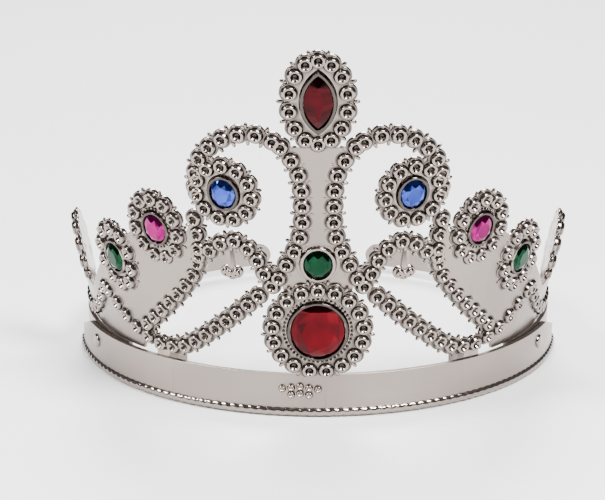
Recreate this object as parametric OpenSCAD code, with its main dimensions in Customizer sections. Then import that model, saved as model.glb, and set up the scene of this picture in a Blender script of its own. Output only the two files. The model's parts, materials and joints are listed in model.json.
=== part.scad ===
// Dress-up crown for one size of head: a stiff brow band with a beaded front that
// flares outward, set stones, and two sliding arms that close the ring at the back.
// Millimetres. The ring's centre lies behind the origin, which is under the middle of
// the whole object. Places on the front are [degrees round from the front, height].
// "left" and "right" are as seen from the front.

/* [Band] */
// Outer radius of the brow band at its lower edge
ring_r = 74.2; // [73:0.1:80]
// Height of the brow band
band_h = 13.2; // [12.5:0.1:13.2]
// Wall of the brow band
band_t = 1.6; // [1.2:0.1:2]
// Outward lean of the band, in degrees
band_lean = 2; // [0:0.5:3]
// Depth of the band behind the ring's centre
band_reach = 0.4; // [0:0.2:2]
// Height that the band falls to at its ends
band_end_h = 4.4; // [4:0.2:8]
// Thickness of the rope trim along the lower edge
rope_d = 2.9; // [2:0.1:3.5]

/* [Back arms] */
// Wall of each arm
arm_t = 1.4; // [1:0.1:1.6]
// Height of the arm's lower edge
arm_z = 3; // [1:0.5:4]
// Where each arm starts, inside the band, in degrees
arm_start = 52; // [50:1:54]
// Where each arm ends at the back, in degrees
arm_end = 168; // [150:1:170]
// Travel of each arm to either side of rest, in degrees
arm_travel = 8; // [4:1:8]
// Gap between the sliding surfaces
slide_gap = 0.3; // [0.3:0.05:0.5]
// Place of the rivet round the band, in degrees
rivet_angle = 66; // [66:1:68]
// Height of the rivet
rivet_z = 9; // [8.5:0.25:9]
// Radius of the rivet's shank
rivet_r = 1.5; // [1.2:0.1:1.6]

/* [Beaded front] */
// Radius of the front's cone at the height of the band's lower edge
cone_r = 66; // [64:0.5:67]
// Outward lean of the front, in degrees
cone_lean = 13.2; // [10:0.2:15]
// Distance of the cone's axis in front of the ring's centre
cone_offset = 3.7; // [3:0.1:4.5]
// Thickness of the sheet under the beads
sheet_t = 1.3; // [1:0.1:1.5]
// Distance from bead to bead along a strand
bead_pitch = 4.9; // [4.6:0.1:5.2]
// Radius of the flat disc under each bead
bead_disc_r = 2.95; // [2.7:0.05:3.1]
// Outer radius of the raised ring of each bead
bead_ring_r = 2.35; // [2:0.05:2.4]
// Height of a bead above the sheet's back
bead_h = 2.5; // [2.2:0.1:3]

/* [Stones] */
// Width of the pointed crest stone
crest_w = 8.5; // [7:0.5:9]
// Height of the pointed crest stone
crest_h = 17; // [15:0.5:18]
// Width of the large base stone
base_w = 16; // [14:0.2:17]
// Height of the large base stone
base_h = 18; // [14:0.2:18.4]
// Width of the small stones
stone_w = 7.8; // [7:0.2:8.4]
// Height of the small stones' outline, up the slope
stone_tall = 9.2; // [8:0.2:9.6]
// Wall of the rim that holds a stone
rim_t = 0.9; // [0.7:0.1:1.2]
// Height of that rim above the sheet's back
rim_h = 2.4; // [2.2:0.1:3]
// Height of a stone above the sheet
stone_h = 2; // [1.8:0.1:3]

/* [Hidden] */
$fn = 48;

// Ring's centre behind the origin: half of what the crest leans forward past the back.
ring_y = 14.3;
band_slope = tan(band_lean);
cone_slope = tan(cone_lean);
arm_h = band_h - arm_z;
weld = 0.2;
column_w = stone_w + 0.6;
column_tall = stone_tall + 0.4;

// Centres of the settings
crest_at = [0, 101];
column_at = [0, 50.1];
base_at = [0, 28.4];
scroll_at = [18.8, 71.5];
panel_at = [35.9, 56.9];
wing_at = [50.8, 43.3];
side_at = [81, 35];
// The side settings stand nearly square to the side, a little inside the cone
side_turn = 8;
side_sink = 1.6;
bud_at = [18.9, 47.5];

// Routes of the beaded strands on the right-hand side
column_route = [[7, 87], [5.2, 83.5], [3.5, 77.5], [3.1, 70], [3.2, 62], [4.4, 55.5], [6.5, 49.9], [8.4, 45.2]];
scroll_route = [[8.5, 88.5], [12, 90.5], [16.5, 89.5], [20.5, 86], [23.8, 80], [25, 72]];
garland_route = [[10, 42.5], [11.7, 47.2], [13.4, 52.2], [16.5, 56], [19.5, 56], [22.5, 53], [26, 50]];
side_route = [[26, 62], [25.8, 55], [27, 46], [31.5, 38], [37.6, 30.3], [44.3, 23.2]];
swag_route = [[13, 39], [18.5, 32.5], [25, 25.7], [32, 19.6], [37, 17.8]];
wing_route = [[41, 17.7], [47.5, 19.8], [53, 24], [58.5, 29.5]];
hem_route = [[60.5, 30], [66, 23], [73, 18.5], [81, 17.2], [89, 17.2]];
// Top edge of the plain sheet behind the side strands
sheet_top = [[88, 18], [86, 28], [70, 27], [60, 38], [52, 46], [40, 57], [28, 57]];
sheet_foot = 13.8;

silver = [0.78, 0.76, 0.75];

// ---- places on the front ----
function cone_at(z) = cone_r + z * cone_slope;
function spot(p) = let (r = cone_at(p[1])) [r * sin(p[0]), -cone_offset - r * cos(p[0]), p[1]];
// The same spot seen square on from the spot c: [sideways, up the slope]
function flat(p, c) =
    let (turn = p[0] - c[0], out = cone_at(p[1]) * cos(turn) - cone_at(c[1]))
    [cone_at(p[1]) * sin(turn), out * sin(cone_lean) + (p[1] - c[1]) * cos(cone_lean)];

// ---- smooth routes and even spacing ----
function clamp(i, n) = min(max(i, 0), n - 1);
function bend(a, b, c, d, t) =
    0.5 * (2 * b + (c - a) * t + (2 * a - 5 * b + 4 * c - d) * t * t
    + (3 * b - a - 3 * c + d) * t * t * t);
function smooth(p, steps = 8) = let (n = len(p)) [for (k = [0:(n - 1) * steps])
    let (i = min(floor(k / steps), n - 2), t = k / steps - i)
    bend(p[clamp(i - 1, n)], p[i], p[i + 1], p[clamp(i + 2, n)], t)];
function step_len(q, i) = i == 0 ? 0 : norm(spot(q[i]) - spot(q[i - 1]));
function run_len(q) = [for (i = 0, s = 0; i < len(q); i = i + 1, s = s + step_len(q, min(i, len(q) - 1))) s];
function along(q, s, d) =
    let (i = max([for (j = [0:len(s) - 2]) if (s[j] <= d) j]))
    q[i] + (q[i + 1] - q[i]) * min(1, (d - s[i]) / (s[i + 1] - s[i]));
function stations(route) =
    let (q = smooth(route), s = run_len(q), total = s[len(s) - 1], n = round(total / bead_pitch))
    [for (k = [0:n]) along(q, s, total * k / n)];
// Points round an ellipse, evenly enough spaced for beads
function oval(a, b, n) = [for (k = [0:n - 1]) let (t = 90 + 360 * k / n) [a * cos(t), b * sin(t)]];

// ---- frames ----
module placed() translate([0, ring_y, 0]) children();
module left() mirror([1, 0, 0]) children();
// Children are drawn flat, +Z out of the front, +Y up the slope
module on_front(p, lift = 0)
    translate(spot(p)) rotate([0, 0, p[0]]) rotate([90 + cone_lean, 0, 0]) translate([0, 0, lift]) children();
// Children are drawn flat, +Z out of the ring
module on_ring(angle, r, z)
    rotate([0, 0, angle]) translate([0, -r, z]) rotate([90, 0, 0]) children();

// ---- beads and settings ----
module bead_boss()
    rotate_extrude($fn = 32) polygon([[0, -weld], [bead_ring_r - 0.25, -weld], [bead_ring_r, 0.2],
        [1.85, bead_h - sheet_t], [1.4, bead_h - sheet_t], [0.9, 0.4], [0, 0.6]]);
// The sheet of the front, cut to the flat outline drawn as children around the spot c
module cut_sheet(c) intersection() {
    translate([0, -cone_offset, 0]) rotate([0, 0, -185]) rotate_extrude(angle = 190, $fn = 180)
        polygon([[cone_at(0), 0], [cone_at(0) + sheet_t, 0],
            [cone_at(110) + sheet_t, 110], [cone_at(110), 110]]);
    on_front(c, -40) linear_extrude(60) children();
}
module discs(places, c) for (p = places) translate(flat(p, c)) circle(bead_disc_r, $fn = 32);
module bosses(places) for (p = places) on_front(p, sheet_t) bead_boss();
module strand(route) {
    places = stations(route);
    middle = places[floor(len(places) / 2)];
    cut_sheet(middle) discs(places, middle);
    bosses(places);
}

module outline(w, h) polygon(oval(w / 2, h / 2, 32));
// Pointed oval, the meeting of two circles
module lens(w, h) {
    r = (w * w + h * h) / (4 * w);
    intersection() {
        translate([r - w / 2, 0]) circle(r, $fn = 96);
        translate([w / 2 - r, 0]) circle(r, $fn = 96);
    }
}
module rim(w, h) translate([0, 0, sheet_t - weld]) linear_extrude(rim_h - sheet_t + weld) difference() {
    outline(w + 2 * rim_t, h + 2 * rim_t);
    outline(w + 0.1, h + 0.1);
}
// A plate with a ring of beads round it; a, b are the half axes through the beads
module medallion(a, b, beads) {
    places = oval(a, b, beads);
    linear_extrude(sheet_t) {
        outline(2 * a, 2 * b);
        for (p = places) translate(p) circle(bead_disc_r, $fn = 32);
    }
    for (p = places) translate([p[0], p[1], sheet_t]) bead_boss();
}
module small_setting(a, b, beads) {
    medallion(a, b, beads);
    rim(stone_w, stone_tall);
}
module small_stone() stone(stone_w, stone_tall);
module on_side() on_front(side_at, -side_sink) rotate([0, side_turn, 0]) children();
// Flat facets from one outline up to a smaller one with as many points
module facets(low, high, rise) {
    n = len(low);
    polyhedron(
        points = concat([for (p = low) [p[0], p[1], 0]], [for (p = high) [p[0], p[1], rise]]),
        faces = concat([[for (i = [0:n - 1]) i]], [[for (i = [n - 1:-1:0]) n + i]],
            [for (i = [0:n - 1]) [i, n + i, n + (i + 1) % n, (i + 1) % n]]));
}
// A cut stone: short girdle, then facets that close to a flat table
module stone(w, h, sides = 12) translate([0, 0, sheet_t]) {
    girdle = stone_h * 0.45;
    linear_extrude(girdle + weld) outline(w, h);
    translate([0, 0, girdle])
        facets(oval(w / 2, h / 2, sides), oval(w * 0.31, h * 0.31, sides), stone_h - girdle);
}

// ---- band, trim, arms, rivets ----
module band_ring(r, low, high, wall, from, to)
    rotate([0, 0, from - 90]) rotate_extrude(angle = to - from, $fn = 180)
        polygon([[r - wall + low * band_slope, low], [r + low * band_slope, low],
            [r + high * band_slope, high], [r - wall + high * band_slope, high]]);

module brow_band() color(silver) difference() {
    fall_from = -25;
    intersection() {
        band_ring(ring_r, 0, band_h, band_t, -94, 94);
        // Seen from the side: the top edge falls away towards the ends
        rotate([90, 0, 90]) linear_extrude(4 * ring_r, center = true)
            polygon([[-2 * ring_r, -1], [band_reach, -1], [band_reach, band_end_h],
                [fall_from, band_h + 0.4], [-2 * ring_r, band_h + 2]]);
    }
    for (s = [-1, 1]) on_ring(s * rivet_angle, ring_r - 6, rivet_z) cylinder(r = rivet_r, h = 20);
}

module rope_trim() color(silver)
    rotate([0, 0, -178]) rotate_extrude(angle = 176, $fn = 180)
        translate([ring_r - 0.45, rope_d / 2]) circle(rope_d / 2, $fn = 24);

// Points round an arc of radius r about c, from one angle to another
function arc(c, r, from, to, n = 10) =
    [for (k = [0:n]) let (t = from + (to - from) * k / n) c + r * [cos(t), sin(t)]];

module arm() color(silver) difference() {
    r = ring_r - band_t - slide_gap;
    slot_half = rivet_r + slide_gap;
    slot_end = r * sin(arm_travel);
    // The end is shaped square on from here: a slow taper to a rounded tip
    tail_view = arm_end - 18;
    tip = 3.6;
    tip_x = r * sin(arm_end - 1 - tail_view) - tip;
    band_ring(r, arm_z, band_h, arm_t, arm_start, arm_end);
    on_ring(rivet_angle, r - 8, rivet_z) linear_extrude(16)
        polygon(concat(arc([slot_end, 0], slot_half, -90, 90), arc([-slot_end, 0], slot_half, 90, 270)));
    on_ring(tail_view, r * 0.7, 0) linear_extrude(r * 0.5) polygon(concat(
        [[-r / 3, band_h + 1]], arc([tip_x, arm_z + tip - 0.1], tip, 80, -90),
        [[tip_x, arm_z - 2], [r / 2, arm_z - 2], [r / 2, band_h + 4], [-r / 3, band_h + 4]]));
}

module rivet() color(silver) on_ring(rivet_angle, 0, rivet_z) {
    wall_out = ring_r + rivet_z * band_slope;
    arm_in = wall_out - band_t - slide_gap - arm_t;
    inner_face = arm_in - slide_gap - 0.3;
    translate([0, 0, inner_face]) cylinder(r = rivet_r, h = wall_out - inner_face + 0.2);
    translate([0, 0, inner_face - 0.7]) cylinder(r = 2.6, h = 0.7);
    translate([0, 0, wall_out - 0.1]) cylinder(r1 = 2.2, r2 = 1.4, h = 0.9);
}

// ---- beaded front, centre ----
module band_floret() color(silver)
    for (row = [0, 1], k = [row - 2:2 - row]) rotate([0, 0, 2 * k - 4])
        translate([0, -ring_r - 8 * band_slope + 0.3, 9.4 - 2.2 * row - 0.4 * abs(k)]) rotate([90, 0, 0])
            cylinder(r = 1.3, h = 1.5, $fn = 24);

module centre_column() color(silver) {
    // The sheet runs on below the strands to the base setting
    edge = concat(smooth(column_route, 3), [[7.5, 40.5]]);
    middle = [0, 66];
    right_edge = [for (p = edge) flat(p, middle)];
    left_edge = [for (i = [len(edge) - 1:-1:0]) [-right_edge[i][0], right_edge[i][1]]];
    cut_sheet(middle) polygon(concat(right_edge, left_edge));
}
module column_strand() color(silver) strand(column_route);

module crest_setting() color(silver) on_front(crest_at) {
    medallion(8.4, 13.1, 14);
    translate([0, 0, sheet_t - weld]) linear_extrude(rim_h - sheet_t + weld) difference() {
        lens(crest_w + 2 * rim_t, crest_h + 3 * rim_t);
        lens(crest_w + 0.1, crest_h + 0.1);
    }
}
module crest_stone() color("darkred") on_front(crest_at) translate([0, 0, sheet_t]) {
    girdle = stone_h * 0.5;
    linear_extrude(girdle + weld) lens(crest_w, crest_h);
    translate([0, 0, girdle]) facets(oval(crest_w * 0.4, crest_h * 0.38, 12),
        oval(crest_w * 0.14, crest_h * 0.25, 12), stone_h - girdle);
}

module column_setting() color(silver) on_front(column_at) {
    linear_extrude(sheet_t) outline(column_w + 4, column_tall + 4);
    rim(column_w, column_tall);
}
module column_stone() color("darkgreen") on_front(column_at) stone(column_w, column_tall);

module base_setting() color(silver) on_front(base_at, 0.6) {
    medallion(13.4, 13.7, 17);
    rim(base_w, base_h);
}
module base_stone() color("crimson") on_front(base_at, 0.6) stone(base_w, base_h, 8);

// ---- beaded front, one side ----
module scroll() color(silver) strand(scroll_route);
module scroll_setting() color(silver) on_front(scroll_at) small_setting(8.4, 8.6, 11);
module scroll_stone() color("royalblue") on_front(scroll_at) small_stone();

module panel() color(silver) {
    middle = [56, 30];
    foot = [for (a = [48:8:88]) [a, sheet_foot]];
    edge = concat(smooth(side_route, 2), foot, sheet_top);
    cut_sheet(middle) polygon([for (p = edge) flat(p, middle)]);
}
module panel_setting() color(silver) on_front(panel_at) small_setting(7.9, 9.6, 11);
module panel_stone() color("mediumvioletred") on_front(panel_at) small_stone();
module wing_setting() color(silver) on_front(wing_at) small_setting(7.2, 9.2, 10);
module wing_stone() color("seagreen") on_front(wing_at) small_stone();
module side_setting() color(silver) on_side() small_setting(7.4, 9, 10);
module side_stone() color("royalblue") on_side() small_stone();

// Small bud of three petals that hangs from the garland
module petals() for (k = [-1:1]) rotate([0, 0, 180 + 42 * k]) translate([0, 2.4, 0]) children();
module garland() color(silver) {
    places = stations(garland_route);
    middle = places[4];
    cut_sheet(middle) {
        discs(places, middle);
        translate(flat(bud_at, middle)) {
            petals() circle(1.9, $fn = 24);
            translate([-1.1, -1]) square([2.2, 8]);
        }
    }
    bosses(places);
    on_front(bud_at, sheet_t) petals() translate([0, 0, -weld]) cylinder(r = 1.2, h = 0.9 + weld, $fn = 24);
}
module swag() color(silver) {
    strand(swag_route);
    // Tongue that joins the front to the inside of the band
    on_ring(37.5, ring_r - 4.8, 6) translate([-4, 0, 0]) cube([8, 12, 4.4]);
}
module wing_strand() color(silver) strand(wing_route);
module side_strand() color(silver) strand(side_route);
module hem() color(silver) strand(hem_route);

placed() brow_band();
placed() rope_trim();
placed() band_floret();
placed() left() arm();  // left_arm
placed() arm();  // right_arm
placed() left() rivet();  // left_rivet
placed() rivet();  // right_rivet
placed() centre_column();
placed() left() column_strand();  // left_column_strand
placed() column_strand();  // right_column_strand
placed() crest_setting();
placed() crest_stone();
placed() column_setting();
placed() column_stone();
placed() base_setting();
placed() base_stone();
placed() left() scroll();  // left_scroll
placed() scroll();  // right_scroll
placed() left() scroll_setting();  // left_scroll_setting
placed() scroll_setting();  // right_scroll_setting
placed() left() scroll_stone();  // left_scroll_stone
placed() scroll_stone();  // right_scroll_stone
placed() left() panel();  // left_panel
placed() panel();  // right_panel
placed() left() panel_setting();  // left_panel_setting
placed() panel_setting();  // right_panel_setting
placed() left() panel_stone();  // left_panel_stone
placed() panel_stone();  // right_panel_stone
placed() left() wing_setting();  // left_wing_setting
placed() wing_setting();  // right_wing_setting
placed() left() wing_stone();  // left_wing_stone
placed() wing_stone();  // right_wing_stone
placed() left() side_setting();  // left_side_setting
placed() side_setting();  // right_side_setting
placed() left() side_stone();  // left_side_stone
placed() side_stone();  // right_side_stone
placed() left() garland();  // left_garland
placed() garland();  // right_garland
placed() left() swag();  // left_swag
placed() swag();  // right_swag
placed() left() wing_strand();  // left_wing_strand
placed() wing_strand();  // right_wing_strand
placed() left() side_strand();  // left_side_strand
placed() side_strand();  // right_side_strand
placed() left() hem();  // left_hem
placed() hem();  // right_hem
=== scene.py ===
"""Dress-up crown: beaded, plated front with set stones, a smooth brow band and two sliding arms."""

import json
import math
import random

import bmesh
import bpy
import numpy as np
from bpy.props import FloatProperty, FloatVectorProperty, PointerProperty
from mathutils import Matrix, Vector
from mathutils.kdtree import KDTree


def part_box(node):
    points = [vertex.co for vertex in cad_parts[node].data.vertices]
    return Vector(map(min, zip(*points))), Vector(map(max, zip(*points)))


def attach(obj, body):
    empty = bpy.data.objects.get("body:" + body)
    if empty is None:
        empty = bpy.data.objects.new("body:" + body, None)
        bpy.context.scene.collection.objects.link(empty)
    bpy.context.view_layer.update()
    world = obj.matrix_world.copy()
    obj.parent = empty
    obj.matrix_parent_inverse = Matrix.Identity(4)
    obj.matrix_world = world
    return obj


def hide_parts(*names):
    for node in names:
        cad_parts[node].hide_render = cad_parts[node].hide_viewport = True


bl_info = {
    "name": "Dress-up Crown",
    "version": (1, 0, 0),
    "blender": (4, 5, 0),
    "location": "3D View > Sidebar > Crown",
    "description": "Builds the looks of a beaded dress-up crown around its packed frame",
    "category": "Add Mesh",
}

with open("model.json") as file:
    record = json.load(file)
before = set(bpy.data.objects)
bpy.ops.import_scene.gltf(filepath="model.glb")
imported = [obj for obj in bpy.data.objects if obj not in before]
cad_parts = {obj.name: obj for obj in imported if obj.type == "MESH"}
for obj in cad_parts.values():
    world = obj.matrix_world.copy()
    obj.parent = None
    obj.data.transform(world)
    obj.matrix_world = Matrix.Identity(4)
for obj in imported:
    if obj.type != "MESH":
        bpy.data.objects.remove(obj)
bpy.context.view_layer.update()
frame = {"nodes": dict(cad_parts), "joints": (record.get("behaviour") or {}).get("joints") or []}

MM = 0.001
NODES = frame["nodes"]
RING_CENTRE = Vector(frame["joints"][0]["pos_m"])
# Each bead in the frame has a small cone inside it; its tip stands this far off the sheet's back
TIP_HEIGHT = 1.9 * MM
# How far the beaded front leans out for each step up
FRONT_SLOPE = 0.2346
# How much painted shade darkens the coating in a bead's pit and in the crevice round the bead, and how much
# a painted dark reflection darkens a nub
PIT_SHADE, CREVICE_SHADE, NUB_SHADE = 1.0, 0.75, 0.9


def both(name):
    """The names of a piece on the left and on the right."""
    return ["left_" + name, "right_" + name]


STRANDS = [n for part in ("column_strand", "scroll", "garland", "swag", "wing_strand", "side_strand", "hem")
           for n in both(part)]
ROUND_SETTINGS = [n for part in ("scroll_setting", "panel_setting", "wing_setting", "side_setting")
                  for n in both(part)]
ROUND_STONES = {"column_stone": "green"}
for part, colour in (("scroll", "blue"), ("panel", "pink"), ("wing", "green"), ("side", "blue")):
    for side_name in both(part + "_stone"):
        ROUND_STONES[side_name] = colour


# ---------------------------------------------------------------- settings a user may change

def length(name, description, default):
    return FloatProperty(name=name, description=description, default=default * MM,
                         min=0.0, subtype="DISTANCE", unit="LENGTH")


def colour(name, description, default):
    return FloatVectorProperty(name=name, description=description, default=default,
                               size=3, min=0.0, max=1.0, subtype="COLOR")


class CrownSizes(bpy.types.PropertyGroup):
    disc_radius: length("Disc radius", "Radius of the flat disc under each bead", 2.95)
    bead_radius: length("Bead radius", "Outer radius of each raised ring", 2.35)
    bead_height: length("Bead height", "Height of a bead above the back of the sheet", 2.5)
    pit_radius: length("Pit radius", "Radius of the pit in the middle of a bead", 0.75)
    sheet: length("Sheet", "Thickness of the plated sheet", 1.3)
    band_wall: length("Band wall", "Thickness of the brow band", 1.6)
    arm_wall: length("Arm wall", "Thickness of the sliding arms", 1.4)
    cone_offset: length("Front offset", "How far the front's axis lies before the ring's centre", 3.7)
    rope: length("Rope", "Thickness of the rope trim", 2.9)
    rope_pitch: length("Rope pitch", "Distance from strand to strand along the rope trim", 2.7)
    rim_wall: length("Rim wall", "Thickness of the rim round a stone", 0.9)
    rim_height: length("Rim height", "Height of that rim above the back of the sheet", 2.5)
    nub: length("Nub radius", "Radius of the small nubs along the outlines", 0.62)
    floret_dot: length("Floret dot radius", "Radius of the dots on the band", 1.22)
    dot: length("Dot radius", "Radius of the fine dots round the larger stones", 0.5)
    petal: length("Petal radius", "Radius of the petals of the hanging bud", 1.9)
    crease: length("Crease", "Height of the faint crease across the side panels", 0.3)
    seam: length("Seam", "Depth of the parting lines on the band", 0.18)


class CrownColours(bpy.types.PropertyGroup):
    plating: colour("Plating", "Bright metallised coating", (0.285, 0.24, 0.215))
    worn: colour("Worn plating", "Plating where it is rubbed thin", (0.17, 0.145, 0.13))
    red: colour("Red", "Large base stone", (0.11, 0.0005, 0.005))
    dark_red: colour("Dark red", "Pointed crest stone", (0.05, 0.0006, 0.003))
    green: colour("Green", "Green stones", (0.001, 0.055, 0.02))
    blue: colour("Blue", "Blue stones", (0.045, 0.09, 0.5))
    pink: colour("Pink", "Magenta stones", (0.36, 0.002, 0.16))
    floor: colour("Floor", "Pale studio floor", (0.93, 0.93, 0.93))


class CrownStage(bpy.types.PropertyGroup):
    distance: FloatProperty(name="Distance", description="From the camera to the ring's centre",
                            default=0.975, min=0.1, subtype="DISTANCE", unit="LENGTH")
    elevation: FloatProperty(name="Elevation", description="Height of the camera as an angle",
                             default=math.radians(18.4), subtype="ANGLE", unit="ROTATION")
    lens: FloatProperty(name="Lens", description="Focal length", default=181.8, min=1.0,
                        subtype="DISTANCE_CAMERA", unit="CAMERA")
    aim_up: length("Aim up", "How far above the ring's centre the camera aims", 27.8)
    aim_left: length("Aim left", "How far to the left of the ring's centre it aims", 4.95)


def sizes():
    return bpy.context.scene.crown_sizes


def colours():
    return bpy.context.scene.crown_colours


# ---------------------------------------------------------------- reading the frame

def merged(node):
    """The CAD node's mesh with its split corners joined."""
    bm = bmesh.new()
    bm.from_mesh(NODES[node].data)
    bmesh.ops.remove_doubles(bm, verts=bm.verts, dist=0.002 * MM)
    bm.normal_update()
    return bm


def standing(origin, outward):
    """A frame at origin: Z outward, Y up the slope, X sideways."""
    up = (Vector((0, 0, 1)) - outward * outward.z).normalized()
    side = up.cross(outward)
    turn = Matrix((side, up, outward)).transposed().to_4x4()
    return Matrix.Translation(origin) @ turn


def bead_frames(node):
    """One frame per bead, at the back of the sheet, found from the tip inside each bead."""
    bm = merged(node)
    found = []
    for v in bm.verts:
        spokes = [e.calc_length() for e in v.link_edges]
        if len(spokes) < 12 or max(spokes) > 1.03 * min(spokes) or max(spokes) > MM:
            continue
        ring = sum((e.other_vert(v).co for e in v.link_edges), Vector()) / len(v.link_edges)
        outward = (v.co - ring).normalized()
        found.append(standing(v.co - outward * TIP_HEIGHT, outward))
    bm.free()
    if not found:
        raise RuntimeError(f"{node} has no beads")
    return found


def middle_frame(frames):
    """The frame in the middle of a ring of beads."""
    n = len(frames)
    centre = sum((f.translation for f in frames), Vector()) / n
    outward = sum((f.col[2].to_3d() for f in frames), Vector()).normalized()
    return standing(centre, outward)


# ---------------------------------------------------------------- mesh tools

def fillet(points, radius, steps=4):
    """An open outline of (across, up) points with its inner corners rounded."""
    out = [points[0]]
    for a, b, c in zip(points, points[1:], points[2:]):
        a, b, c = Vector(a), Vector(b), Vector(c)
        reach = min(radius, (a - b).length * 0.45, (c - b).length * 0.45)
        start, end = b + (a - b).normalized() * reach, b + (c - b).normalized() * reach
        for k in range(steps + 1):
            t = k / steps
            out.append(tuple(start * (1 - t) ** 2 + b * 2 * t * (1 - t) + end * t ** 2))
    out.append(points[-1])
    return out


def new_mesh(name, bm):
    bmesh.ops.recalc_face_normals(bm, faces=bm.faces)
    mesh = bpy.data.meshes.new(name)
    bm.to_mesh(mesh)
    bm.free()
    return mesh


def link(name, mesh):
    obj = bpy.data.objects.new(name, mesh)
    bpy.context.scene.collection.objects.link(obj)
    return obj


def lathe(matrix, profile, segments=36, stretch=1.0):
    """A closed turned part. profile runs from the axis round and back to the axis."""
    bm = bmesh.new()
    rings = []
    for r, h in profile:
        if r < 1e-7:
            rings.append([bm.verts.new(matrix @ Vector((0, 0, h)))])
            continue
        ring = []
        for k in range(segments):
            a = 2 * math.pi * k / segments
            ring.append(bm.verts.new(matrix @ Vector((r * math.cos(a), r * stretch * math.sin(a), h))))
        rings.append(ring)
    for low, high in zip(rings, rings[1:]):
        for k in range(segments):
            j = (k + 1) % segments
            corners = [low[k % len(low)], low[j % len(low)], high[j % len(high)], high[k % len(high)]]
            kept = [v for i, v in enumerate(corners) if v not in corners[:i]]
            bm.faces.new(kept)
    return new_mesh("turned", bm)


def loft(loops, ring=True, caps=False):
    """A surface through closed loops of points. ring joins the last loop to the first."""
    bm = bmesh.new()
    rows = [[bm.verts.new(p) for p in loop] for loop in loops]
    count = len(rows[0])
    pairs = list(zip(rows, rows[1:])) + ([(rows[-1], rows[0])] if ring else [])
    for low, high in pairs:
        for k in range(count):
            j = (k + 1) % count
            bm.faces.new((low[k], low[j], high[j], high[k]))
    if caps:
        bm.faces.new(rows[0])
        bm.faces.new(rows[-1])
    return new_mesh("lofted", bm)


def weld(name, meshes):
    """One closed piece from overlapping closed meshes."""
    parts = [link(f"{name}_part{i}", mesh) for i, mesh in enumerate(meshes)]
    if len(parts) == 1:
        parts[0].name = name
        return parts[0]
    others = bpy.data.collections.new(name + "_parts")
    bpy.context.scene.collection.children.link(others)
    for part in parts[1:]:
        bpy.context.scene.collection.objects.unlink(part)
        others.objects.link(part)
    join = parts[0].modifiers.new("join", "BOOLEAN")
    join.operation = "UNION"
    join.operand_type = "COLLECTION"
    join.collection = others
    join.solver = "MANIFOLD"
    bpy.context.view_layer.update()
    solid = parts[0].evaluated_get(bpy.context.evaluated_depsgraph_get())
    mesh = bpy.data.meshes.new_from_object(solid)
    for part in parts:
        bpy.data.objects.remove(part)
    bpy.data.collections.remove(others)
    if not mesh.polygons:
        raise RuntimeError(f"{name} could not be joined")
    mesh.name = name
    return link(name, mesh)


def smooth(obj, angle=38):
    """Smooth shading, broken at sharp edges, with the flat faces kept flat."""
    obj.data.shade_smooth()
    obj.data.set_sharp_from_angle(angle=math.radians(angle))
    even = obj.modifiers.new("even_normals", "WEIGHTED_NORMAL")
    even.keep_sharp = True
    even.weight = 60


def paint_shade(obj, frames):
    """Paints shade into the pits and the crevices round the beads, and a dark reflection onto the nubs past
    the outlines, by marking where the coating is darkened.
    """
    s = sizes()
    tree = KDTree(len(frames))
    for i, f in enumerate(frames):
        tree.insert(f.translation, i)
    tree.balance()
    backs = [f.inverted() for f in frames]
    # Painted shade per point: how far the coating is darkened for shade in pits and crevices and for a dark
    # reflection on nubs
    painted_shade = obj.data.attributes.new("painted_shade", "FLOAT", "POINT")
    values = []
    for v in obj.data.vertices:
        amount = 0.0
        _, i, gap = tree.find(v.co)
        if gap < 2 * s.disc_radius:
            x, y, h = backs[i] @ v.co
            r = math.hypot(x, y)
            in_pit = r < s.pit_radius * 1.15 and s.sheet < h < s.bead_height - 0.3 * MM
            in_crevice = (s.bead_radius - 0.3 * MM < r < s.disc_radius - 0.1 * MM
                          and s.sheet - 0.1 * MM < h < s.sheet + 0.6 * MM)
            on_nub = r > s.disc_radius + 0.25 * MM and h > s.sheet / 2 and abs(h - s.sheet) > 0.12 * MM
            if in_pit:
                amount = PIT_SHADE
            elif in_crevice:
                amount = CREVICE_SHADE
            elif on_nub:
                amount = NUB_SHADE
        values.append(amount)
    painted_shade.data.foreach_set("value", values)


def place(obj, body, slot, material, *nodes):
    """Gives a piece its material, stands it for its nodes and lets it ride on its body. slot is not used."""
    obj.data.materials.clear()
    obj.data.materials.append(material)
    if nodes:
        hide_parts(*nodes)
    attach(obj, body)


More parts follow.
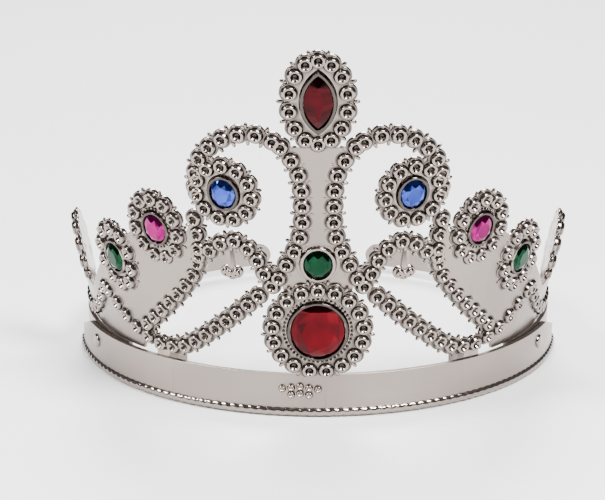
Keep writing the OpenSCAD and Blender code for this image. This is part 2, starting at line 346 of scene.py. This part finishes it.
def bent_sheet(name, node, axis, wall, edge, relief=None, step=2.5 * MM):
    """A sheet with rounded edges on the outer face of a CAD node that is turned about an upright axis.

    relief(turn, height) gives how far its outer face is raised there.
    """
    bm = merged(node)
    for face in bm.faces:
        spoke = face.calc_center_median() - axis
        spoke.z = 0
        face.tag = face.normal.dot(spoke.normalized()) > 0.8
    bmesh.ops.delete(bm, geom=[f for f in bm.faces if not f.tag], context="FACES")
    out = [(math.hypot(v.co.x - axis.x, v.co.y - axis.y), v.co.z) for v in bm.verts]
    slope, foot = np.polyfit([z for r, z in out], [r for r, z in out], 1)
    for v in bm.verts:
        turn = math.atan2(v.co.x - axis.x, axis.y - v.co.y)
        v.co = Vector((turn * foot, v.co.z, 0))
    bmesh.ops.dissolve_limit(bm, angle_limit=math.radians(2), verts=bm.verts, edges=bm.edges)
    back = bmesh.ops.extrude_face_region(bm, geom=list(bm.faces))
    moved = [g for g in back["geom"] if isinstance(g, bmesh.types.BMVert)]
    bmesh.ops.translate(bm, verts=moved, vec=(0, 0, -wall))
    bmesh.ops.recalc_face_normals(bm, faces=bm.faces)
    bm.normal_update()
    corners = [e for e in bm.edges if len(e.link_faces) == 2 and e.calc_face_angle(0) > math.radians(60)
               and any(abs(f.normal.z) > 0.9 for f in e.link_faces)]
    bmesh.ops.bevel(bm, geom=corners, offset=edge, segments=3, profile=0.5, affect="EDGES",
                    clamp_overlap=True)
    low, high = min(v.co.x for v in bm.verts), max(v.co.x for v in bm.verts)
    cut = low + step
    while cut < high:
        bmesh.ops.bisect_plane(bm, geom=list(bm.verts) + list(bm.edges) + list(bm.faces),
                               plane_co=(cut, 0, 0), plane_no=(1, 0, 0))
        cut += step
    bmesh.ops.triangulate(bm, faces=[f for f in bm.faces if len(f.verts) > 4])
    for v in bm.verts:
        turn, r = v.co.x / foot, foot + slope * v.co.y + v.co.z
        if relief and v.co.z > -wall / 2:
            r += relief(turn, v.co.y)
        v.co = Vector((axis.x + r * math.sin(turn), axis.y - r * math.cos(turn), v.co.y))
    obj = link(name, new_mesh(name, bm))
    smooth(obj)
    return obj


# ---------------------------------------------------------------- parts of the beaded front

def bead_profile():
    s = sizes()
    disc, ring, top, pit = s.disc_radius, s.bead_radius, s.bead_height, s.pit_radius
    crest = (ring + pit) / 2
    outline = [(0, 0), (disc, 0), (disc, s.sheet), (ring + 0.05 * MM, s.sheet), (ring, s.sheet + 0.35 * MM),
               (crest + 0.35 * MM, top), (crest - 0.2 * MM, top), (pit, s.sheet + 0.25 * MM),
               (pit * 0.45, s.sheet), (0, s.sheet + 0.15 * MM)]
    return fillet(outline, 0.4 * MM)


def bead(matrix):
    return lathe(matrix, bead_profile())


def ball(matrix, radius, tall=1.0, segments=14):
    """A small closed dome, tall times as high as it is wide."""
    steps = 8
    profile = [(radius * math.sin(math.pi * k / steps), -radius * tall * math.cos(math.pi * k / steps))
               for k in range(steps + 1)]
    profile[0], profile[-1] = (0, -radius * tall), (0, radius * tall)
    return lathe(matrix, profile, segments)


def nubs(frames, centre=None):
    """Small nubs in the valleys between neighbouring beads, on both sides or only away from centre."""
    s = sizes()
    reach = s.disc_radius * 2
    made = []
    for i, a in enumerate(frames):
        for b in frames[i + 1:]:
            gap = b.translation - a.translation
            if gap.length > reach:
                continue
            outward = (a.col[2].to_3d() + b.col[2].to_3d()).normalized()
            side = outward.cross(gap).normalized()
            middle = (a.translation + b.translation) / 2 + outward * 0.75 * MM
            for way in (side, -side):
                if centre is not None and way.dot(middle - centre) < 0:
                    continue
                spot = middle + way * 2.5 * MM
                turn = way.to_track_quat("Z", "Y").to_matrix().to_4x4()
                made.append(ball(Matrix.Translation(spot) @ turn, s.nub, 1.9))
    return made


def rim(matrix, outline):
    """The raised wall round a stone. outline(offset) gives the stone's edge moved out by offset."""
    s = sizes()
    wall, foot, top = s.rim_wall, s.sheet - 0.3 * MM, s.rim_height
    section = fillet([(0.05 * MM, foot), (0.05 * MM, top), (wall, top - 0.1 * MM),
                      (wall + 0.1 * MM, foot + 0.8 * MM), (wall + 0.6 * MM, foot)], 0.4 * MM)
    return loft([[matrix @ Vector((x, y, h)) for x, y in outline(d)] for d, h in section])


def oval(width, height, count=48):
    """The edge of an oval, as a function of how far it is moved out."""
    def outline(offset):
        turns = [2 * math.pi * k / count for k in range(count)]
        return [((width / 2 + offset) * math.cos(a), (height / 2 + offset) * math.sin(a)) for a in turns]
    return outline


def pointed(width, height, count=48):
    """The edge of a pointed oval, as a function of how far it is moved out."""
    def outline(offset):
        w, h = width + 2 * offset, height + 3 * offset
        r = (w * w + h * h) / (4 * w)
        half = math.asin(h / 2 / r)
        points = []
        for k in range(count // 2):
            a = -half + 2 * half * k / (count // 2)
            points.append((r * math.cos(a) - (r - w / 2), r * math.sin(a)))
        return points + [(-x, -y) for x, y in points]
    return outline


def cut_stone(name, matrix, levels):
    """A faceted stone: the hull of loops of points, each (loop of (x, y), height)."""
    bm = bmesh.new()
    for loop, h in levels:
        for x, y in loop:
            bm.verts.new(matrix @ Vector((x, y, h)))
    bmesh.ops.convex_hull(bm, input=bm.verts)
    loose = [v for v in bm.verts if not v.link_faces]
    bmesh.ops.delete(bm, geom=loose, context="VERTS")
    bmesh.ops.dissolve_limit(bm, angle_limit=math.radians(1.5), verts=bm.verts, edges=bm.edges)
    edges = [e for e in bm.edges if e.calc_face_angle(0) > math.radians(4)]
    bmesh.ops.bevel(bm, geom=edges, offset=0.05 * MM, segments=1, affect="EDGES", clamp_overlap=True)
    obj = link(name, new_mesh(name, bm))
    obj.data.shade_flat()
    draw = random.Random(name)
    # Painted light and shade: each facet gets its own random brightness, the table nearly full, standing in
    # for how the facets catch the light
    facet_light = obj.data.attributes.new("facet_light", "FLOAT", "FACE")
    largest = max(obj.data.polygons, key=lambda face: face.area).area
    facet_light.data.foreach_set("value", [0.9 if face.area > 0.9 * largest else draw.uniform(0.3, 1.0)
                                    for face in obj.data.polygons])
    return obj


def facet_loop(width, height, count, shift=0.0):
    """count corners on an oval, turned by shift of one step."""
    turns = [2 * math.pi * (k + shift) / count for k in range(count)]
    return [(width / 2 * math.cos(a), height / 2 * math.sin(a)) for a in turns]


def box_width(node, matrix):
    """Width and height of a node seen square on in a frame, and its lowest and highest point there."""
    back = matrix.inverted()
    points = [back @ v.co for v in NODES[node].data.vertices]
    across = [p.x for p in points]
    up = [p.y for p in points]
    out = [p.z for p in points]
    return max(across) - min(across), max(up) - min(up), min(out), max(out)


# ---------------------------------------------------------------- materials

def socket(group, name, way, kind, default=None):
    made = group.interface.new_socket(name=name, in_out=way, socket_type=kind)
    if default is not None:
        made.default_value = default
    return made


def give(tree, where, value):
    """Sets an input to a plain value, or joins it to another node's output."""
    if isinstance(value, bpy.types.NodeSocket):
        tree.links.new(value, where)
    else:
        where.default_value = value


def math_node(tree, operation, *values):
    node = tree.nodes.new("ShaderNodeMath")
    node.operation = operation
    for i, value in enumerate(values):
        give(tree, node.inputs[i], value)
    return node.outputs[0]


def blend(tree, factor, a, b, kind="MIX"):
    """Two colours mixed by factor."""
    node = tree.nodes.new("ShaderNodeMix")
    node.data_type = "RGBA"
    node.blend_type = kind
    for name, value in (("Factor", factor), ("A", a), ("B", b)):
        give(tree, node.inputs[name], value)
    return node.outputs["Result"]


def ramp(tree, value, stops):
    node = tree.nodes.new("ShaderNodeValToRGB")
    while len(node.color_ramp.elements) < len(stops):
        node.color_ramp.elements.new(0.5)
    for element, (at, grey) in zip(node.color_ramp.elements, stops):
        element.position = at
        element.color = (grey, grey, grey, 1)
    tree.links.new(value, node.inputs[0])
    return node.outputs[0]


def noise(tree, scale, detail=3.0, stretch=None):
    where = tree.nodes.new("ShaderNodeTexCoord").outputs["Object"]
    if stretch:
        mapping = tree.nodes.new("ShaderNodeMapping")
        mapping.inputs["Scale"].default_value = stretch
        tree.links.new(where, mapping.inputs["Vector"])
        where = mapping.outputs[0]
    node = tree.nodes.new("ShaderNodeTexNoise")
    node.inputs["Detail"].default_value = detail
    tree.links.new(where, node.inputs["Vector"])
    node.inputs["Scale"].default_value = scale
    return node.outputs["Fac"]


def plating_group():
    """Rubbed edges, haze and orange peel of a metallised coating on moulded plastic, with painted shade and
    painted dark reflection where the mesh marks them.
    """
    group = bpy.data.node_groups.new("plating_surface", "ShaderNodeTree")
    socket(group, "Bright", "INPUT", "NodeSocketColor", (0.7, 0.7, 0.7, 1))
    socket(group, "Worn", "INPUT", "NodeSocketColor", (0.5, 0.5, 0.5, 1))
    socket(group, "Gloss", "INPUT", "NodeSocketFloat", 0.12)
    socket(group, "Haze", "INPUT", "NodeSocketFloat", 0.1)
    socket(group, "Colour", "OUTPUT", "NodeSocketColor")
    socket(group, "Roughness", "OUTPUT", "NodeSocketFloat")
    socket(group, "Height", "OUTPUT", "NodeSocketFloat")
    given = group.nodes.new("NodeGroupInput").outputs
    result = group.nodes.new("NodeGroupOutput").inputs
    pointiness = group.nodes.new("ShaderNodeNewGeometry").outputs["Pointiness"]
    edges = ramp(group, pointiness, [(0.53, 0), (0.62, 1)])
    patches = ramp(group, noise(group, 180.0, 5.0), [(0.42, 0), (0.68, 1)])
    wear = math_node(group, "MULTIPLY", edges, patches)
    cloud = ramp(group, noise(group, 60.0, 4.0), [(0.3, 0), (0.75, 1)])
    rubbed_through = math_node(group, "MULTIPLY", wear, 0.7)
    metal = blend(group, math_node(group, "MULTIPLY_ADD", cloud, 0.12, rubbed_through),
                  given["Bright"], given["Worn"])
    # Painted shade: the coating goes near black where the mesh marks shaded pits and crevices and darkly
    # reflecting nubs
    marked = group.nodes.new("ShaderNodeAttribute")
    marked.attribute_name = "painted_shade"
    shaded = blend(group, math_node(group, "MULTIPLY", marked.outputs["Fac"], 0.9), metal,
                   (0.02, 0.018, 0.017, 1))
    group.links.new(shaded, result["Colour"])
    dull = math_node(group, "MULTIPLY", cloud, given["Haze"])
    rubbed = math_node(group, "MULTIPLY", wear, 0.25)
    group.links.new(math_node(group, "ADD", given["Gloss"], math_node(group, "ADD", dull, rubbed)),
                    result["Roughness"])
    peel = noise(group, 900.0, 2.0)
    scratches = ramp(group, noise(group, 700.0, 2.0, (1.0, 1.0, 9.0)), [(0.66, 0), (0.72, 1)])
    group.links.new(math_node(group, "SUBTRACT", peel, math_node(group, "MULTIPLY", scratches, 0.35)),
                    result["Height"])
    return group


def plating(name, gloss, haze, bump):
    """Bright metallised plastic with a given gloss."""
    material = bpy.data.materials.get(name)
    if material:
        return material
    group = bpy.data.node_groups.get("plating_surface") or plating_group()
    material = bpy.data.materials.new(name)
    material.use_nodes = True
    tree = material.node_tree
    shader = tree.nodes["Principled BSDF"]
    surface = tree.nodes.new("ShaderNodeGroup")
    surface.node_tree = group
    surface.inputs["Bright"].default_value = (*colours().plating, 1)
    surface.inputs["Worn"].default_value = (*colours().worn, 1)
    surface.inputs["Gloss"].default_value = gloss
    surface.inputs["Haze"].default_value = haze
    shader.inputs["Metallic"].default_value = 1.0
    tree.links.new(surface.outputs["Colour"], shader.inputs["Base Color"])
    tree.links.new(surface.outputs["Roughness"], shader.inputs["Roughness"])
    relief = tree.nodes.new("ShaderNodeBump")
    relief.inputs["Strength"].default_value = bump
    relief.inputs["Distance"].default_value = 0.05 * MM
    tree.links.new(surface.outputs["Height"], relief.inputs["Height"])
    tree.links.new(relief.outputs["Normal"], shader.inputs["Normal"])
    return material


def sheet_plating():
    return plating("plated_sheet", 0.26, 0.12, 0.35)


def bead_plating():
    return plating("plated_beads", 0.10, 0.10, 0.25)


def stone_group():
    """Depth of a foiled stone: its colour drifts between a deep and a lit tone, facet by facet."""
    group = bpy.data.node_groups.new("stone_depth", "ShaderNodeTree")
    socket(group, "Colour", "INPUT", "NodeSocketColor", (0.5, 0, 0, 1))
    socket(group, "Colour", "OUTPUT", "NodeSocketColor")
    socket(group, "Roughness", "OUTPUT", "NodeSocketFloat")
    given = group.nodes.new("NodeGroupInput").outputs
    result = group.nodes.new("NodeGroupOutput").inputs
    drift = ramp(group, noise(group, 220.0, 2.0), [(0.3, 0), (0.7, 1)])
    deep = blend(group, math_node(group, "MULTIPLY", drift, 0.6), given["Colour"], (0.35, 0.35, 0.4, 1),
                 "MULTIPLY")
    # Painted light and shade per facet, read from the mesh, scales the colour
    facet_light = group.nodes.new("ShaderNodeAttribute")
    facet_light.attribute_name = "facet_light"
    group.links.new(blend(group, 1.0, deep, facet_light.outputs["Color"], "MULTIPLY"), result["Colour"])
    haze = ramp(group, noise(group, 500.0, 3.0), [(0.4, 0), (0.8, 1)])
    group.links.new(math_node(group, "MULTIPLY_ADD", haze, 0.06, 0.05), result["Roughness"])
    return group


def stone_material(name):
    """Clear coloured plastic with foil behind it."""
    material = bpy.data.materials.get("stone_" + name)
    if material:
        return material
    group = bpy.data.node_groups.get("stone_depth") or stone_group()
    material = bpy.data.materials.new("stone_" + name)
    material.use_nodes = True
    tree = material.node_tree
    shader = tree.nodes["Principled BSDF"]
    depth = tree.nodes.new("ShaderNodeGroup")
    depth.node_tree = group
    depth.inputs["Colour"].default_value = (*getattr(colours(), name), 1)
    tree.links.new(depth.outputs["Colour"], shader.inputs["Base Color"])
    tree.links.new(depth.outputs["Roughness"], shader.inputs["Roughness"])
    shader.inputs["Metallic"].default_value = 1.0
    shader.inputs["Coat Weight"].default_value = 0.15
    shader.inputs["Coat Roughness"].default_value = 0.03
    shader.inputs["Coat IOR"].default_value = 1.49
    return material


# ---------------------------------------------------------------- operators

class CROWN_OT_brow_band(bpy.types.Operator):
    """Smooth band round the brow, with its mould lines"""
    bl_idname = "crown.brow_band"
    bl_label = "Brow band"

    def execute(self, context):
        seam_at, half = math.radians(36), math.radians(0.45)

        def seams(turn, _height):
            return -sizes().seam * max(0.0, 1 - abs(abs(turn) - seam_at) / half)

        band = bent_sheet("brow_band_shell", "brow_band", RING_CENTRE, sizes().band_wall, 0.4 * MM, seams,
                          0.55 * MM)
        place(band, "front", "silver_plating", sheet_plating(), "brow_band")
        return {"FINISHED"}


class CROWN_OT_rope_trim(bpy.types.Operator):
    """Twisted rope along the lower edge of the band"""
    bl_idname = "crown.rope_trim"
    bl_label = "Rope trim"

    def execute(self, context):
        s = sizes()
        low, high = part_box("rope_trim")
        core = s.rope / 2
        path = (high.x - low.x) / 2 - core
        end = math.radians(88)
        step = 0.45 * MM
        count = int(2 * end * path / step)
        around = 20
        loops = []
        for i in range(count + 1):
            turn = -end + 2 * end * i / count
            run = turn * path
            taper = min(1.0, 0.25 + min(i, count - i) * step / (1.2 * MM))
            loop = []
            for k in range(around):
                a = 2 * math.pi * k / around
                twist = a + math.pi * run / s.rope_pitch
                r = core * taper * (0.80 + 0.20 * abs(math.cos(twist)) ** 0.7)
                out = path + r * math.cos(a)
                loop.append((RING_CENTRE.x + out * math.sin(turn), RING_CENTRE.y - out * math.cos(turn),
                             core + r * math.sin(a)))
            loops.append(loop)
        rope = link("rope_trim_twist", loft(loops, ring=False, caps=True))
        smooth(rope, 60)
        place(rope, "front", "silver_plating", bead_plating(), "rope_trim")
        return {"FINISHED"}


class CROWN_OT_floret(bpy.types.Operator):
    """Small group of domed dots on the band"""
    bl_idname = "crown.floret"
    bl_label = "Band floret"

    def execute(self, context):
        s = sizes()
        low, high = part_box("band_floret")
        middle = (low + high) / 2
        pitch = (high.x - low.x - 2 * s.floret_dot) / 4
        row_drop, side_drop, sink = 2.2, 0.4, 0.5 * MM
        profile = [(0, -0.6 * MM), (s.floret_dot, -0.6 * MM), (s.floret_dot, 0.1 * MM),
                   (s.floret_dot * 0.62, 0.9 * MM), (s.floret_dot * 0.25, 0.4 * MM), (0, 0.35 * MM)]
        domes = []
        for row, count in ((0, 5), (1, 3)):
            for k in range(count):
                step = k - (count - 1) / 2
                x = middle.x + step * pitch
                z = high.z - s.floret_dot - (row_drop * row + side_drop * abs(step)) * MM
                y = low.y + sink + (x * x - middle.x ** 2) / (2 * abs(low.y - RING_CENTRE.y))
                outward = Vector((x - RING_CENTRE.x, y - RING_CENTRE.y, 0)).normalized()
                matrix = standing(Vector((x, y, z)) - outward * sink, outward)
                domes.append(lathe(matrix, fillet(profile, 0.3 * MM), 20))
        piece = weld("band_floret_dots", domes)
        smooth(piece)
        place(piece, "front", "silver_plating", bead_plating(), "band_floret")
        return {"FINISHED"}


class CROWN_OT_arms(bpy.types.Operator):
    """Sliding arms with their slots, and the rivets that hold them"""
    bl_idname = "crown.arms"
    bl_label = "Arms and rivets"

    def execute(self, context):
        for node, body in (("left_arm", "left_back"), ("right_arm", "right_back")):
            arm = bent_sheet(node + "_strip", node, RING_CENTRE, sizes().arm_wall, 0.35 * MM)
            place(arm, body, "silver_plating", sheet_plating(), node)
        shank, head, cap = 1.5 * MM, 2.6 * MM, 2.2 * MM
        for node in both("rivet"):
            # The mean of its even rings lies on the rivet's axis; the middle of its box doesn't
            bm = merged(node)
            centre = sum((v.co for v in bm.verts), Vector()) / len(bm.verts)
            bm.free()
            outward = Vector((centre.x - RING_CENTRE.x, centre.y - RING_CENTRE.y, 0)).normalized()
            matrix = standing(RING_CENTRE + Vector((0, 0, centre.z)), outward)
            deep, far = box_width(node, matrix)[2:]
            head_end, cap_start = deep + 0.7 * MM, far - 0.9 * MM
            outline = [(0, deep), (head, deep), (head, head_end), (shank, head_end), (shank, cap_start),
                       (cap, cap_start), (1.9 * MM, far - 0.2 * MM), (0.9 * MM, far), (0, far)]
            rivet = link(node + "_pin", lathe(matrix, fillet(outline, 0.35 * MM), 32))
            smooth(rivet)
            place(rivet, "front", "silver_plating", bead_plating(), node)
        return {"FINISHED"}


class CROWN_OT_sheets(bpy.types.Operator):
    """Plain plated sheets: the column and the two side panels"""
    bl_idname = "crown.sheets"
    bl_label = "Plain sheets"

    def execute(self, context):
        axis = RING_CENTRE - Vector((0, sizes().cone_offset, 0))

        def crease(turn, height):
            start, inner_end, climb, blur = 33 * MM, math.radians(34), 0.012, 0.5 * MM
            line = start + (abs(turn) - inner_end) * climb
            return sizes().crease * min(1.0, max(0.0, (height - line) / blur))

        for node in ["centre_column"] + both("panel"):
            relief = crease if "panel" in node else None
            sheet = bent_sheet(node + "_sheet", node, axis, sizes().sheet, 0.3 * MM, relief, 1.2 * MM)
            place(sheet, "front", "silver_plating", sheet_plating(), node)
        return {"FINISHED"}


class CROWN_OT_strands(bpy.types.Operator):
    """Beaded strands of the openwork"""
    bl_idname = "crown.strands"
    bl_label = "Beaded strands"

    def execute(self, context):
        for node in STRANDS:
            frames = bead_frames(node)
            parts = [bead(f) for f in frames] + nubs(frames)
            if "garland" in node:
                parts += self.bud(node, frames)
            if "swag" in node:
                parts.append(self.tongue(node))
            piece = weld(node + "_beads", parts)
            # Painted shade in the pits and crevices, painted dark reflection on the nubs
            paint_shade(piece, frames)
            smooth(piece)
            place(piece, "front", "silver_plating", bead_plating(), node)
        return {"FINISHED"}

    @staticmethod
    def bud(node, frames):
        """Three petals on a stem; the node's lowest point clear of the beads is the middle one's tip."""
        s = sizes()
        clear = 1.3 * s.disc_radius
        points = [v.co for v in NODES[node].data.vertices
                  if all((v.co - f.translation).length > clear for f in frames)]
        low = min(p.z for p in points)
        tips = [p for p in points if p.z < low + 0.3 * MM]
        tip = sum(tips, Vector()) / len(tips)
        outward = tip - RING_CENTRE + Vector((0, s.cone_offset, 0))
        outward.z = -FRONT_SLOPE * math.hypot(outward.x, outward.y)
        outward.normalize()
        reach, spread = 2.4 * MM, 42
        matrix = standing(tip, outward)
        matrix = matrix @ Matrix.Translation((0, s.petal + reach, -s.sheet))
        profile = [(0, 0), (s.petal, 0), (s.petal, s.sheet), (s.petal * 0.66, s.sheet + 0.2 * MM),
                   (s.petal * 0.5, s.sheet + 1.1 * MM), (0.25 * MM, s.sheet + 0.7 * MM),
                   (0, s.sheet + 0.7 * MM)]
        parts = []
        for angle in (-spread, 0, spread):
            turned = (matrix @ Matrix.Rotation(math.radians(180 + angle), 4, "Z")
                      @ Matrix.Translation((0, reach, 0)))
            parts.append(lathe(turned, fillet(profile, 0.35 * MM), 24))
        half_stem, stem_foot, stem_top = 1.0, -1.2, 7.0
        corners = [(-half_stem, stem_foot), (half_stem, stem_foot),
                   (half_stem, stem_top), (-half_stem, stem_top)]
        parts.append(loft([[matrix @ Vector((x * MM, y * MM, h)) for x, y in corners]
                           for h in (0.05 * MM, s.sheet - 0.05 * MM)], ring=False, caps=True))
        return parts

    @staticmethod
    def tongue(node):
        """The block that joins the strand to the inside of the band, stood on the node's lowest face."""
        points = [v.co.copy() for v in NODES[node].data.vertices]
        low = min(p.z for p in points)
        foot = []
        for p in points:
            if p.z < low + 0.01 * MM and all((p - q).length > 0.1 * MM for q in foot):
                foot.append(p)
        centre = sum(foot, Vector()) / len(foot)
        foot.sort(key=lambda p: math.atan2(p.y - centre.y, p.x - centre.x))
        tall, rounding, narrow = 12, 0.3, 0.94
        levels = ((narrow, 0), (1, rounding), (1, tall - rounding), (narrow, tall))
        return loft([[centre + (p - centre) * k + Vector((0, 0, h * MM)) for p in foot] for k, h in levels],
                    ring=False, caps=True)


class CROWN_OT_settings(bpy.types.Operator):
    """Round and oval settings with their rims and rings of beads"""
    bl_idname = "crown.settings"
    bl_label = "Settings"

    def execute(self, context):
        s = sizes()
        for node in ROUND_SETTINGS + ["base_setting", "crest_setting"]:
            frames = bead_frames(node)
            matrix = middle_frame(frames)
            stone = node.replace("setting", "stone")
            width, height = box_width(stone, matrix)[:2]
            ring_w, ring_h = [side / 2 - s.disc_radius for side in box_width(node, matrix)[:2]]
            shape = pointed(width, height) if node == "crest_setting" else oval(width, height)
            plate = fillet([(0, 0), (ring_w, 0), (ring_w, s.sheet), (0, s.sheet)], 0.3 * MM)
            parts = [lathe(matrix, plate, 64, ring_h / ring_w)]
            parts += [bead(f) for f in frames] + nubs(frames, matrix.translation)
            parts.append(rim(matrix, shape))
            if node == "base_setting" or "panel" in node:
                parts += self.dots(matrix, (ring_w - s.bead_radius + width / 2 + s.rim_wall) / 2,
                                   (ring_h - s.bead_radius + height / 2 + s.rim_wall) / 2)
            piece = weld(node + "_beads", parts)
            # Painted shade in the pits and crevices, painted dark reflection on the nubs
            paint_shade(piece, frames)
            smooth(piece)
            place(piece, "front", "silver_plating", bead_plating(), node)
        return {"FINISHED"}

    @staticmethod
    def dots(matrix, half_width, half_height):
        """A ring of fine dots on the plate."""
        s = sizes()
        count = round(math.pi * (half_width + half_height) / (2.7 * s.dot))
        made = []
        for k in range(count):
            a = 2 * math.pi * k / count
            where = Vector((half_width * math.cos(a), half_height * math.sin(a), s.sheet + 0.05 * MM))
            made.append(ball(matrix @ Matrix.Translation(where), s.dot, 1.1, 10))
        return made


class CROWN_OT_column_setting(bpy.types.Operator):
    """Plain round setting at the foot of the column"""
    bl_idname = "crown.column_setting"
    bl_label = "Column setting"

    def execute(self, context):
        s = sizes()
        matrix = stone_frame("column_stone")
        width, height = box_width("column_stone", matrix)[:2]
        flange = width / 2 + 2.3 * MM
        plate = fillet([(0, 0), (flange, 0), (flange, s.sheet), (0, s.sheet)], 0.4 * MM)
        piece = weld("column_setting_cup", [lathe(matrix, plate, 64), rim(matrix, oval(width, height))])
        smooth(piece)
        place(piece, "front", "silver_plating", bead_plating(), "column_setting")
        return {"FINISHED"}


def stone_frame(node):
    """The frame at the back of the sheet behind a stone, from the stone's flat table."""
    bm = merged(node)
    bm.faces.ensure_lookup_table()
    axis = RING_CENTRE - Vector((0, sizes().cone_offset, 0))
    flat = {}
    for f in bm.faces:
        spoke = f.calc_center_median() - axis
        spoke.z = 0
        if f.normal.dot(spoke.normalized()) < 0.9:
            continue
        key = tuple(round(c, 2) for c in f.normal)
        flat.setdefault(key, []).append(f)
    best = max(flat.values(), key=lambda faces: sum(f.calc_area() for f in faces))
    outward = sum((f.normal * f.calc_area() for f in best), Vector()).normalized()
    area = sum(f.calc_area() for f in best)
    centre = sum((f.calc_center_median() * f.calc_area() for f in best), Vector()) / area
    bm.free()
    matrix = standing(centre, outward)
    depth = box_width(node, matrix)[2]
    return standing(centre + outward * (depth - sizes().sheet), outward)


class CROWN_OT_stones(bpy.types.Operator):
    """Cut stones in their settings"""
    bl_idname = "crown.stones"
    bl_label = "Stones"

    def execute(self, context):
        for node, name in ROUND_STONES.items():
            self.set_round(node, name, name, 32, 0.35, (0.78, 0.78), 0.54)
        self.set_round("base_stone", "base_red", "red", 48, 0.3, (0.84, 0.72), 0.6)
        matrix = stone_frame("crest_stone")
        width, height, low, high = box_width("crest_stone", matrix)
        tall = high - low
        edge = pointed(width, height, 32)(0)
        table = [(x * 0.3, y * 0.62) for x, y in pointed(width, height, 12)(0)]
        levels = [(edge, low), (edge, low + tall * 0.35), (table, high)]
        stone = cut_stone("crest_stone_cut", matrix, levels)
        place(stone, "front", "crest_red", stone_material("dark_red"), "crest_stone")
        return {"FINISHED"}

    @staticmethod
    def set_round(node, slot, name, corners, side, crown, table):
        """A stone with an eight-sided table.

        side is the height of its upright edge, crown the (size, height) of the loop above that and table
        the size of its top, all as parts of the whole stone.
        """
        matrix = stone_frame(node)
        width, height, low, high = box_width(node, matrix)
        tall = high - low
        edge = facet_loop(width, height, corners)
        size, rise = crown
        levels = [(edge, low), (edge, low + tall * side),
                  (facet_loop(width * size, height * size, 8, 0.5), low + tall * rise),
                  (facet_loop(width * table, height * table, 8), high)]
        stone = cut_stone(node + "_cut", matrix, levels)
        place(stone, "front", slot, stone_material(name), node)


class CROWN_OT_stage(bpy.types.Operator):
    """Pale floor, soft studio light and the camera"""
    bl_idname = "crown.stage"
    bl_label = "Stage"

    # Name, place, size and power of each lamp, and the point they all face
    lamps = (("key", (0.45, -0.5, 0.8), 0.45, 28),
             ("fill", (-0.7, -0.3, 0.6), 0.35, 14),
             ("back", (0.0, 0.8, 0.9), 0.6, 24))
    lit_point = (0, 0, 0.05)
    floor_half, floor_drop = 4.0, 0.0002
    sky, sky_strength = (0.8, 0.82, 0.85, 1), 0.25

    def execute(self, context):
        scene = context.scene
        view = scene.crown_stage
        bm = bmesh.new()
        bmesh.ops.create_grid(bm, x_segments=8, y_segments=8, size=self.floor_half)
        floor = link("studio_floor", new_mesh("studio_floor", bm))
        floor.location.z = -self.floor_drop
        paint = bpy.data.materials.new("floor_paint")
        paint.use_nodes = True
        shader = paint.node_tree.nodes["Principled BSDF"]
        shader.inputs["Base Color"].default_value = (*colours().floor, 1)
        shader.inputs["Roughness"].default_value = 0.6
        floor.data.materials.append(paint)

        rise = view.elevation
        forward = Vector((0, math.cos(rise), -math.sin(rise)))
        up = Vector((0, math.sin(rise), math.cos(rise)))
        eye = RING_CENTRE - forward * view.distance
        aim = RING_CENTRE + up * view.aim_up - Vector((view.aim_left, 0, 0))
        camera = bpy.data.objects.new("camera", bpy.data.cameras.new("camera"))
        camera.data.lens = view.lens
        camera.data.sensor_width = 36
        camera.data.clip_end = 20
        camera.location = eye
        camera.rotation_euler = (aim - eye).to_track_quat("-Z", "Y").to_euler()
        scene.collection.objects.link(camera)
        scene.camera = camera

        for lamp in self.lamps:
            self.lamp(scene, *lamp)
        world = bpy.data.worlds.new("studio")
        world.use_nodes = True
        background = world.node_tree.nodes["Background"]
        background.inputs["Color"].default_value = self.sky
        background.inputs["Strength"].default_value = self.sky_strength
        scene.world = world
        return {"FINISHED"}

    def lamp(self, scene, name, where, size, power):
        data = bpy.data.lights.new(name, "AREA")
        data.shape = "DISK"
        data.size = size
        data.energy = power
        lamp = bpy.data.objects.new(name, data)
        lamp.location = where
        lamp.rotation_euler = (Vector(self.lit_point) - Vector(where)).to_track_quat("-Z", "Y").to_euler()
        scene.collection.objects.link(lamp)


STEPS = [CROWN_OT_stage, CROWN_OT_brow_band, CROWN_OT_rope_trim, CROWN_OT_floret, CROWN_OT_arms,
         CROWN_OT_sheets, CROWN_OT_strands, CROWN_OT_settings, CROWN_OT_column_setting, CROWN_OT_stones]


class CROWN_PT_panel(bpy.types.Panel):
    """Crown builder"""
    bl_idname = "CROWN_PT_panel"
    bl_label = "Crown"
    bl_space_type = "VIEW_3D"
    bl_region_type = "UI"
    bl_category = "Crown"

    def draw(self, context):
        for step in STEPS:
            self.layout.operator(step.bl_idname)
        for group in (context.scene.crown_sizes, context.scene.crown_colours, context.scene.crown_stage):
            for name in group.__annotations__:
                self.layout.prop(group, name)


GROUPS = {"crown_sizes": CrownSizes, "crown_colours": CrownColours, "crown_stage": CrownStage}


def register():
    for cls in list(GROUPS.values()) + STEPS + [CROWN_PT_panel]:
        bpy.utils.register_class(cls)
    for name, cls in GROUPS.items():
        setattr(bpy.types.Scene, name, PointerProperty(type=cls))


def unregister():
    for name in GROUPS:
        delattr(bpy.types.Scene, name)
    for cls in reversed(list(GROUPS.values()) + STEPS + [CROWN_PT_panel]):
        bpy.utils.unregister_class(cls)


def main():
    register()
    for step in STEPS:
        group, name = step.bl_idname.split(".")
        getattr(getattr(bpy.ops, group), name)()


if __name__ == "__main__":
    main()
